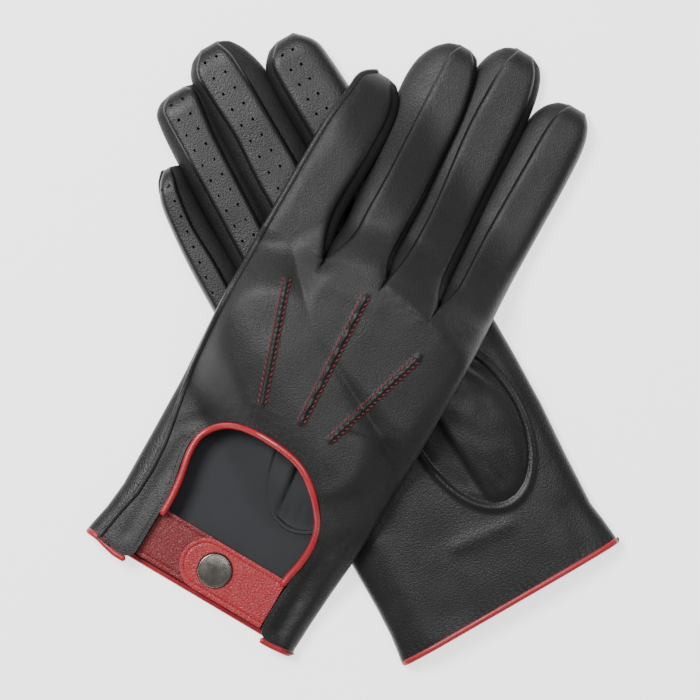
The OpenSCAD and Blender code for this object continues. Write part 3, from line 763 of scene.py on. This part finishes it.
def sleeve_place(glove, s, a):
    """A place on the folded sleeve: plan and height off the palm, s from 0 to 1 at the tip."""
    path = THUMB_PATH[glove]
    at, ahead = spline(path, min(s, 0.999)), spline(path, min(s, 0.999) + 0.001)
    dx, dy = ahead[0] - at[0], ahead[1] - at[1]
    length = math.hypot(dx, dy)
    wide = dy / length, -dx / length
    full = math.sqrt(max(0.0, 1 - max(0.0, (s - 1 + THUMB_ROUND) / THUMB_ROUND) ** 2.4))
    half = mix(THUMB_HALF[glove], THUMB_HALF[glove] - 2.5, s) * full
    side = math.copysign(abs(math.cos(a)) ** 0.85, math.cos(a))
    rise = math.copysign(abs(math.sin(a)) ** 0.75, math.sin(a))
    thick = THUMB_THICK * mix(0.35, 1, full)
    return at[0] + wide[0] * half * side, at[1] + wide[1] * half * side, thick / 2 - thick / 2 * rise


def thumb_place(glove, j, k):
    a = 2 * math.pi * j / THUMB_SIDES
    if k >= MOUTH_RINGS:
        return sleeve_place(glove, (k - MOUTH_RINGS) / SLEEVE_RINGS, a)
    w = (k / MOUTH_RINGS) ** 1.25
    (cx, cy), (hx, hy) = THUMB_OVAL[glove]
    ox, oy = cx + (hx + MOUTH_LAP) * math.cos(a), cy + (hy + MOUTH_LAP) * math.sin(a)
    x, y, z = sleeve_place(glove, 0, a)
    hollow = smooth((ROOT_FOLD + 0.1 - a) / 0.2) * smooth((a - math.radians(120)) / 0.5)
    u = mix(w**0.55, 0.9 * w**2.8 + 0.1 * w, hollow)
    near = math.exp(-(((a - ROOT_FOLD - 0.35) / 0.5) ** 2)) * math.exp(-(((w - 0.13) / 0.11) ** 2))
    pucker = 0.3 * near * math.sin(26 * a)
    return mix(ox, x, w), mix(oy, y, w), mix(-MOUTH_SINK, z, u) + pucker


for glove in ("right", "left"):
    away = 1 if glove == "right" else -1
    rings = MOUTH_RINGS + SLEEVE_RINGS
    bm = bmesh.new()
    bmesh.ops.create_grid(bm, x_segments=THUMB_SIDES, y_segments=rings, size=0.5)
    for v in bm.verts:
        j, k = round((v.co.x + 0.5) * THUMB_SIDES), round((v.co.y + 0.5) * rings)
        x, y, z = thumb_place(glove, j % THUMB_SIDES, k)
        z += 0.35 * noise.noise(Vector((x / 6, y / 8, 3.1))) * smooth(k / 8)
        v.co = to_row(glove, x, y, palm_face(glove, x, y) + away * (z + THUMB_GAP * smooth(k / 8)))
    bmesh.ops.remove_doubles(bm, verts=bm.verts, dist=1e-6)
    if glove == "left":
        bmesh.ops.reverse_faces(bm, faces=bm.faces)
    sleeve = new_piece(f"{glove}_thumb_sleeve", bm, [palm_grain, black_flesh], f"{glove}_glove")
    solidify(sleeve, THUMB_LEATHER * MM, 1)
    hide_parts(f"{glove}_thumb")

# ---------------------------------------------------------------------------------------
# The little finger's side seam: the palm's edge is rolled round the back's and the two are
# whipped together with black thread, which leaves a narrow ridge from the hem to the fingertip.
SIDE_RIDGE = (1.15, 0.7)  # half its width and half its height


def sweep(bm, path, half_width, half_height, sides=10, round_ends=True):
    """A soft roll of flattened section along path, a list of (point, normal)."""
    last = len(path) - 1
    grid = bmesh.ops.create_grid(bm, x_segments=sides, y_segments=last, size=0.5)["verts"]
    along = [0.0]
    for (a, _), (b, _) in zip(path, path[1:]):
        along.append(along[-1] + (b - a).length)
    for v in grid:
        j, k = round((v.co.x + 0.5) * sides) % sides, round((v.co.y + 0.5) * last)
        point, normal = path[k]
        ahead = (path[min(last, k + 1)][0] - path[max(0, k - 1)][0]).normalized()
        across_it = ahead.cross(normal).normalized()
        up = across_it.cross(ahead)
        end = min(along[k], along[-1] - along[k]) / half_width
        full = math.sqrt(1 - (1 - min(1.0, end)) ** 2) if round_ends else 1.0
        a = 2 * math.pi * j / sides
        v.co = point + across_it * (half_width * full * math.cos(a)) + up * (half_height * full * math.sin(a))
    bmesh.ops.remove_doubles(bm, verts=grid, dist=1e-7)


def stitches(bm, path, pitch, length, width, slant=0.0, start=0.5):
    """Single stitches laid along path, a list of (point, normal), each a small rounded bead."""
    gone = pitch * start
    for (a, normal), (b, _) in zip(path, path[1:]):
        step = (b - a).length
        while gone <= step:
            at = a.lerp(b, gone / step)
            ahead = Matrix.Rotation(slant, 3, normal) @ (b - a).normalized()
            side = normal.cross(ahead).normalized()
            frame_at = Matrix((ahead, side, ahead.cross(side))).transposed().to_4x4()
            size = Matrix.Diagonal((length / 2, width / 2, width / 2, 1))
            bead = Matrix.Translation(at) @ frame_at @ size
            bmesh.ops.create_uvsphere(bm, u_segments=6, v_segments=4, radius=1, matrix=bead)
            gone += pitch
        gone -= step


for glove in ("right", "left"):
    up = 1 if glove == "left" else -1
    seam = trank_edges[glove, "back"]["side"][:-2]
    lifted = [(p + Vector((0, 0, up * 0.00005)), Vector((0, 0, up))) for p in seam]
    bm = bmesh.new()
    sweep(bm, lifted, SIDE_RIDGE[0] * MM, SIDE_RIDGE[1] * MM)
    if up < 0:
        bmesh.ops.recalc_face_normals(bm, faces=bm.faces)
    new_piece(f"{glove}_side_seam_ridge", bm, [palm_grain], f"{glove}_glove")
    bm = bmesh.new()
    crown = [(p + n * 0.00055, n) for p, n in lifted]
    stitches(bm, crown, 0.75 * MM, 2.2 * MM, 0.45 * MM, slant=math.radians(68))
    new_piece(f"{glove}_side_seam_thread", bm, [black_thread], f"{glove}_glove")

# ---------------------------------------------------------------------------------------
# Red thread of the three points: two rows of slanted stitches hold each raised tuck of the
# back of the hand. The right glove has them too, on the side it lies on.
RED_THREAD = 0.8


def hand_surface(glove, side, x, y, lift=0.0):
    """A place on the outer face of a hand's leather, and its normal."""
    upper = side == upper_side(glove)
    height = upper_height if upper else lower_height
    step = 0.25

    def at(px, py):
        return to_row(glove, px, py, bed(glove, px, py) + height(glove, px, py))

    normal = (at(x + step, y) - at(x - step, y)).cross(at(x, y + step) - at(x, y - step)).normalized()
    if not upper:
        normal = -normal
    return at(x, y) + normal * (lift * MM), normal


def hand_path(glove, side, points, lift=0.0, count=40):
    return [hand_surface(glove, side, *spline(points, k / count), lift) for k in range(count + 1)]


def beside_line(start, end, offset):
    dx, dy = end[0] - start[0], end[1] - start[1]
    length = math.hypot(dx, dy)
    step = dy / length * offset, -dx / length * offset
    return (start[0] + step[0], start[1] + step[1]), (end[0] + step[0], end[1] + step[1])


red_thread = finish_material(
    "red_thread", (0.085, 0.006, 0.009), (0.15, 0.011, 0.015), (0.55, 0.7), 0.00003,
    {"Pore Scale": 4000.0, "Pebble Scale": 2000.0, "Pebble": 0.3, "Mottle Scale": 700.0},
)
for glove in ("right", "left"):
    bm = bmesh.new()
    for start, end in POINTS:
        for offset, slant in ((-1.25, 30), (1.25, -30)):
            row = hand_path(glove, "back", beside_line(start, end, offset), 0.1, 60)
            stitches(bm, row, 2.0 * MM, 2.0 * MM, RED_THREAD * MM, math.radians(slant), 0.4)
    new_piece(f"{glove}_points_thread", bm, [red_thread], f"{glove}_glove")

# ---------------------------------------------------------------------------------------
# The keyhole's edge: a thin roll of glossy red leather sewn inside the turned edge of the
# back, with a row of black topstitching in the black leather round it.
PIPING = [
    (-22.4, 17.5), (-22.4, 23), (-22.9, 29), (-23.9, 35), (-25, 40), (-25.4, 45), (-24.5, 50), (-21, 55),
    (-16, 58.2), (-10, 59.7), (-3, 60.2), (4, 59.8), (10, 58.5), (15, 56), (20, 52), (24, 47.5),
    (27, 43), (28.7, 38), (29.2, 33), (28.8, 27), (27.8, 22), (27.3, 17.5),
]
piping_red = finish_material(
    "red_piping_leather", (0.30, 0.012, 0.018), (0.40, 0.020, 0.028), (0.26, 0.38), 0.00004,
    {"Pore Scale": 2200.0, "Pebble Scale": 800.0, "Pebble": 0.35, "Mottle Scale": 140.0},
    Coat_Weight=0.15,
)


def outward(points, count, offset):
    """Plan points beside a spline, offset to its left when walked from first to last."""
    made = []
    for k in range(count + 1):
        t = k / count
        x, y = spline(points, t)
        (ax, ay), (bx, by) = spline(points, max(0, t - 0.004)), spline(points, min(1, t + 0.004))
        length = math.hypot(bx - ax, by - ay)
        made.append((x - (by - ay) / length * offset, y + (bx - ax) / length * offset))
    return made


for glove in ("right", "left"):
    up = 1 if glove == "left" else -1
    roll = []
    for x, y in outward(PIPING, 150, 0):
        point, normal = hand_surface(glove, "back", x, y, -0.55)
        if glove == "right":
            point.z = max(point.z, 1.32 * MM)
        roll.append((point, normal))
    bm = bmesh.new()
    sweep(bm, roll, 1.3 * MM, 1.25 * MM, 14)
    if up < 0:
        bmesh.ops.recalc_face_normals(bm, faces=bm.faces)
    piping = new_piece(f"{glove}_keyhole_roll", bm, [piping_red], f"{glove}_glove")
    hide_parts(f"{glove}_keyhole_piping")
    bm = bmesh.new()
    row = [hand_surface(glove, "back", x, y, 0.05) for x, y in outward(KEYHOLE[2:-2], 160, 1.5)]
    stitches(bm, row, 2.0 * MM, 1.5 * MM, 0.34 * MM)
    new_piece(f"{glove}_keyhole_topstitch", bm, [black_thread], f"{glove}_glove")

# ---------------------------------------------------------------------------------------
# Round the thumb's oval, on the flesh side of the palm, the seam allowance is laid over and
# whipped down: a low ridge with short black stitches, seen through the keyhole.
for glove in ("right", "left"):
    up = 1 if glove == "left" else -1
    ring = []
    for k in range(121):
        x, y = oval(glove, 3 * k)
        dx, dy = x - THUMB_OVAL[glove][0][0], y - THUMB_OVAL[glove][0][1]
        out = 1 + 0.9 / math.hypot(dx, dy)
        x, y = THUMB_OVAL[glove][0][0] + dx * out, THUMB_OVAL[glove][0][1] + dy * out
        z = palm_face(glove, x, y) + up * LEATHER
        ring.append((to_row(glove, x, y, z), Vector((0, 0, up))))
    bm = bmesh.new()
    sweep(bm, ring, 0.8 * MM, 0.5 * MM, 10, False)
    bmesh.ops.recalc_face_normals(bm, faces=bm.faces)
    new_piece(f"{glove}_thumb_seam_ridge", bm, [black_flesh], f"{glove}_glove")
    bm = bmesh.new()
    stitches(bm, [(p + n * 0.00035, n) for p, n in ring], 1.5 * MM, 1.5 * MM, 0.4 * MM, math.radians(55))
    new_piece(f"{glove}_thumb_seam_thread", bm, [black_thread], f"{glove}_glove")

# ---------------------------------------------------------------------------------------
# The wrist elastic: a woven black tape stitched to the flesh side of the palm, which draws the
# wrist in a little. It lies just inside the hem.
ELASTIC_HALF = 33.0
ELASTIC = (4.0, 10.0)
tape = finish_material(
    "elastic_weave", (0.012, 0.012, 0.013), (0.03, 0.03, 0.032), (0.8, 0.9), 0.00012,
    {"Pore Scale": 1500.0, "Pebble Scale": 1400.0, "Pebble": 0.9, "Mottle Scale": 300.0},
)
for glove in ("right", "left"):
    up = 1 if glove == "left" else -1
    bm = bmesh.new()
    bmesh.ops.create_grid(bm, x_segments=132, y_segments=12, size=0.5)
    for v in bm.verts:
        x, y = 2 * ELASTIC_HALF * v.co.x, mix(*ELASTIC, v.co.y + 0.5)
        rib = 0.06 * math.sin(math.pi * (y - ELASTIC[0]))
        v.co = to_row(glove, x, y, palm_face(glove, x, y) + up * (LEATHER + 0.6 + rib))
    if up < 0:
        bmesh.ops.reverse_faces(bm, faces=bm.faces)
    band = new_piece(f"{glove}_elastic_tape", bm, [tape], f"{glove}_glove")
    solidify(band, 0.45 * MM)
    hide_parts(f"{glove}_wrist_elastic")

# ---------------------------------------------------------------------------------------
# The hem's binding: a strip of red leather folded round the raw edge and sewn through, so that
# a slim red roll shows below the black. It is joined in the palm and stops at the keyhole.
hem_red = finish_material(
    "red_hem_leather", (0.28, 0.012, 0.018), (0.38, 0.020, 0.027), (0.34, 0.46), 0.00005,
    {"Pore Scale": 1900.0, "Pebble Scale": 700.0, "Pebble": 0.5, "Mottle Scale": 120.0},
)
HEM_DROP = 0.75
HEM_ROLL = (0.85, 1.15)   # half its thickness and half its width
HEM_JOIN = (1.0, 1.3)
HEM_JOINS = (48, 130)     # points along the hem where the binding is joined
# Rows of black stitches along the hem and up beside the strap: (side, points, steps)
HEM_STITCHES = [
    ("palm", [(-40, 1.9), (0, 2.0), (41, 1.8)], 90),
    ("back", [(-37, 0.8), (-30, -0.2), (-26.8, 0.6), (-25.2, 3), (-25, 17)], 50),
    ("back", [(30.2, 17), (30.2, 3), (31.6, -0.2), (36, 0), (41, 0.6)], 50),
]


def hem_place(glove, side, t):
    """A place on the hem's middle line: t across the glove from the little finger's side."""
    x, y = hem(glove, side, t)
    upper = side == upper_side(glove)
    height = upper_height if upper else lower_height
    z = bed(glove, x, 0) + height(glove, x, 0) + (-0.5 if upper else 0.5) * LEATHER
    return to_row(glove, x, y - HEM_DROP, max(z, 0.95))


def wrap_hem(glove, k):
    p = wrap_point(glove, k, 0)
    inward_x = 0.5 * LEATHER * MM * (1 - k)
    turn = TURN[glove]
    drop = Vector((math.sin(turn), -math.cos(turn), 0)) * (HEM_DROP * MM)
    return p + Vector((math.cos(turn), math.sin(turn), 0)) * inward_x + drop


for glove in ("right", "left"):
    a, b = left_edge(glove, "back", 0), side_x(glove, 0, True)
    tab_in, tab_out = (KEYHOLE[1][0] - a) / (b - a), (KEYHOLE[-2][0] - a) / (b - a)
    line = [hem_place(glove, "back", mix(tab_in, 0.02, k / 20)) for k in range(20)]
    line += [wrap_hem(glove, 1 - k / 8) for k in range(9)]
    line += [hem_place(glove, "palm", mix(0.015, 0.998, k / 130)) for k in range(131)]
    line += [hem_place(glove, "back", mix(0.995, tab_out, k / 20)) for k in range(21)]
    for _ in range(2):
        line = [line[0]] + [(p + 2 * q + r) / 4 for p, q, r in zip(line, line[1:], line[2:])] + [line[-1]]
    along_hand = Vector((-math.sin(TURN[glove]), math.cos(TURN[glove]), 0))
    roll = [(p, along_hand) for p in line]
    bm = bmesh.new()
    sweep(bm, roll, HEM_ROLL[0] * MM, HEM_ROLL[1] * MM, 12)
    for join in HEM_JOINS:
        sweep(bm, roll[join:join + 3], HEM_JOIN[0] * MM, HEM_JOIN[1] * MM, 12)
    bmesh.ops.recalc_face_normals(bm, faces=bm.faces)
    binding = new_piece(f"{glove}_hem_roll", bm, [hem_red], f"{glove}_glove")
    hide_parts(f"{glove}_hem_binding")
    bm = bmesh.new()
    for side, points, count in HEM_STITCHES:
        stitches(bm, hand_path(glove, side, points, 0.04, count), 2.2 * MM, 1.6 * MM, 0.36 * MM)
    new_piece(f"{glove}_hem_stitching", bm, [black_thread], f"{glove}_glove")

# ---------------------------------------------------------------------------------------
# The strap: two tabs of pebbled red leather, each lined with the same and sewn round its edge.
# The one from the little finger's side holds the stud and lies under the one with the cap; its leather is
# coloured darker than the cap's tab, as painted shade.
STRAP_Y = 10.3
STRAP_HALF = 9.5
STRAP_LAYER = 0.6
STITCH_INSET = 1.6       # of the sewing and the groove that it presses, from the tab's edge
EDGE_DROP = 0.16
GROOVE = 0.3
TAB_TOP = HAND_HEIGHT - 2 * LEATHER
STUD_TAB_TOP = TAB_TOP - 2 * STRAP_LAYER - 0.35
TABS = {"snap": (28.1, -9.2, TAB_TOP), "stud": (-23.1, 13.0, STUD_TAB_TOP)}
strap_red = finish_material(
    "red_strap_leather", (0.27, 0.012, 0.018), (0.38, 0.022, 0.029), (0.36, 0.48), 0.00014,
    {"Pore Scale": 1700.0, "Pebble Scale": 1000.0, "Pebble": 0.5, "Crease": 0.5, "Mottle Scale": 160.0},
)
# A darker copy of the same red leather for the stud tab, which lies under the other: the darker colour is
# painted shade.
strap_red_painted_shade = finish_material(
    "strap_leather_painted_shade", (0.13, 0.005, 0.008), (0.20, 0.009, 0.013), (0.38, 0.5), 0.00014,
    {"Pore Scale": 1700.0, "Pebble Scale": 1000.0, "Pebble": 0.5, "Crease": 0.5, "Mottle Scale": 160.0},
)
strap_thread = finish_material(
    "red_strap_thread", (0.2, 0.008, 0.012), (0.3, 0.016, 0.022), (0.5, 0.6), 0.00003,
    {"Pore Scale": 4000.0, "Pebble Scale": 2000.0, "Pebble": 0.3, "Mottle Scale": 700.0},
)


def on_back(glove, x, y, z):
    """A place given for the left glove's strap, turned over on the right glove."""
    return to_row(glove, x, y, z if glove == "left" else CAP_CLEARANCE + HAND_HEIGHT - z)


def tab_place(root, tip, u, v):
    """A place on a tab and its distance from the edge: u from root to tip, v from -1 to 1."""
    toward = math.copysign(1, tip - root)
    length = abs(tip - root)
    run = length * (1 - (1 - u) ** 1.3)
    end = max(0.0, run - (length - STRAP_HALF))
    half = math.sqrt(max(0.0, STRAP_HALF**2 - end**2))
    y = half * v
    inside = STRAP_HALF - math.hypot(end, y) if end > 0 else STRAP_HALF - abs(y)
    return root + toward * run, STRAP_Y + y, inside


for glove in ("right", "left"):
    for kind, (root, tip, top) in TABS.items():
        # The stud tab takes the darker copy, painted shade for lying under the cap's tab.
        skin = strap_red if kind == "snap" else strap_red_painted_shade
        for layer, face, upward in (("tab", top, 1), ("tab_lining", top - 2 * STRAP_LAYER, -1)):
            bm = bmesh.new()
            bmesh.ops.create_grid(bm, x_segments=80, y_segments=44, size=0.5)
            for v in bm.verts:
                x, y, inside = tab_place(root, tip, v.co.x + 0.5, 2 * v.co.y)
                puff = -EDGE_DROP * math.exp(-((inside / 0.55) ** 2))
                puff -= GROOVE * math.exp(-(((inside - STITCH_INSET) / 0.42) ** 2))
                v.co = on_back(glove, x, y, face + upward * puff)
            if (upward > 0) == (glove == "right") != (tip < root):
                bmesh.ops.reverse_faces(bm, faces=bm.faces)
            sheet = new_piece(f"{glove}_{kind}_{layer}_leather", bm, [skin], f"{glove}_{kind}_tab")
            solidify(sheet, 0.55 * MM)
            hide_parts(f"{glove}_{kind}_{layer}")
        bm = bmesh.new()
        toward = math.copysign(1, tip - root)
        middle = tip - toward * STRAP_HALF
        arc = STRAP_HALF - STITCH_INSET
        line = [(root, STRAP_Y - arc)]
        line += [(middle + toward * arc * math.sin(a), STRAP_Y - arc * math.cos(a))
                 for a in (math.pi * k / 24 for k in range(25))]
        line.append((root, STRAP_Y + arc))
        up = Vector((0, 0, 1 if glove == "left" else -1))
        path = [(on_back(glove, x, y, top - 0.1), up) for x, y in line]
        stitches(bm, path, 2.1 * MM, 1.6 * MM, 0.4 * MM)
        new_piece(f"{glove}_{kind}_tab_stitching", bm, [strap_thread], f"{glove}_{kind}_tab")

# ---------------------------------------------------------------------------------------
# The snap fasteners, of dark nickelled brass. A pressed cap and a socket with a spring ring are
# riveted through the upper tab; a stud and its eyelet are riveted through the lower one.
SNAP_X = 4.0
CAP_PROFILE = [
    (5.2, 0.02), (6.1, 0.0), (6.45, 0.2), (6.5, 0.6), (6.38, 1.1), (6.1, 1.55), (5.85, 1.78), (5.6, 1.86),
    (5.45, 1.82), (5.3, 1.84), (4.2, 1.96), (2.4, 2.06), (0, 2.1),
]
gunmetal = finish_material(
    "dark_nickel", (0.19, 0.175, 0.16), (0.25, 0.235, 0.215), (0.16, 0.28), 0.000015,
    {"Pore Scale": 2600.0, "Pebble Scale": 900.0, "Pebble": 0.2, "Mottle Scale": 350.0}, 1.0,
)
for glove in ("right", "left"):
    bm = bmesh.new()
    start = [bm.verts.new((r * MM, 0, z * MM)) for r, z in CAP_PROFILE]
    profile = start + [bm.edges.new(pair) for pair in zip(start, start[1:])]
    bmesh.ops.spin(bm, geom=profile, cent=(0, 0, 0), axis=(0, 0, 1), angle=2 * math.pi, steps=96,
                   use_merge=True)
    bmesh.ops.remove_doubles(bm, verts=bm.verts, dist=1e-7)
    if glove == "right":
        bmesh.ops.rotate(bm, verts=bm.verts, cent=(0, 0, 0), matrix=Matrix.Rotation(math.pi, 3, "X"))
    bmesh.ops.translate(bm, verts=bm.verts, vec=on_back(glove, SNAP_X, STRAP_Y, TAB_TOP))
    bmesh.ops.recalc_face_normals(bm, faces=bm.faces)
    cap = new_piece(f"{glove}_cap_shell", bm, [gunmetal], f"{glove}_snap_tab")
    solidify(cap, 0.3 * MM)
    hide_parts(f"{glove}_snap_cap")
    for node in ("snap_socket", "socket_spring", "snap_stud", "stud_eyelet"):
        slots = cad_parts[f"{glove}_{node}"].data.materials
        slots.clear()
        slots.append(gunmetal)

# ---------------------------------------------------------------------------------------
# A white table top that glows a little, so that it stays pale, a soft box from the upper left,
# a weaker one overhead, a dim white room and a long lens straight above the pair.
FLOOR_GLOW = 1.6
ROOM_LIGHT = 0.34
floor_mesh = bpy.data.meshes.new("table_top")
bm = bmesh.new()
bmesh.ops.create_grid(bm, x_segments=1, y_segments=1, size=2.0)
bm.to_mesh(floor_mesh)
bm.free()
table_top = bpy.data.objects.new("table_top", floor_mesh)
bpy.context.scene.collection.objects.link(table_top)
paper = bpy.data.materials.new("white_paper")
surface = node_tree(paper).nodes["Principled BSDF"].inputs
surface["Base Color"].default_value = (0.95, 0.95, 0.95, 1)
surface["Roughness"].default_value = 0.8
surface["Emission Color"].default_value = (1, 1, 1, 1)
surface["Emission Strength"].default_value = FLOOR_GLOW
floor_mesh.materials.append(paper)


def soft_box(name, place, aim, size, power):
    light = bpy.data.lights.new(name, "AREA")
    light.shape = "RECTANGLE"
    light.size, light.size_y = size
    light.energy = power
    lamp = bpy.data.objects.new(name, light)
    lamp.location = place
    lamp.rotation_euler = (Vector(aim) - Vector(place)).to_track_quat("-Z", "Y").to_euler()
    bpy.context.scene.collection.objects.link(lamp)


soft_box("key_box", (-0.5, 0.42, 1.0), (0, 0, 0), (0.45, 0.45), 17)
soft_box("top_box", (0.3, 0.35, 1.5), (0, 0, 0), (0.6, 0.6), 6)
world = bpy.data.worlds.new("pale_room")
bpy.context.scene.world = world
background = node_tree(world).nodes["Background"].inputs
background["Color"].default_value = (1, 1, 1, 1)
background["Strength"].default_value = ROOM_LIGHT

LENS = 145
camera = bpy.data.objects.new("camera", bpy.data.cameras.new("camera"))
camera.data.lens = LENS
camera.location = (-0.0014, 0.0002, 1.012)
bpy.context.scene.collection.objects.link(camera)
bpy.context.scene.camera = camera
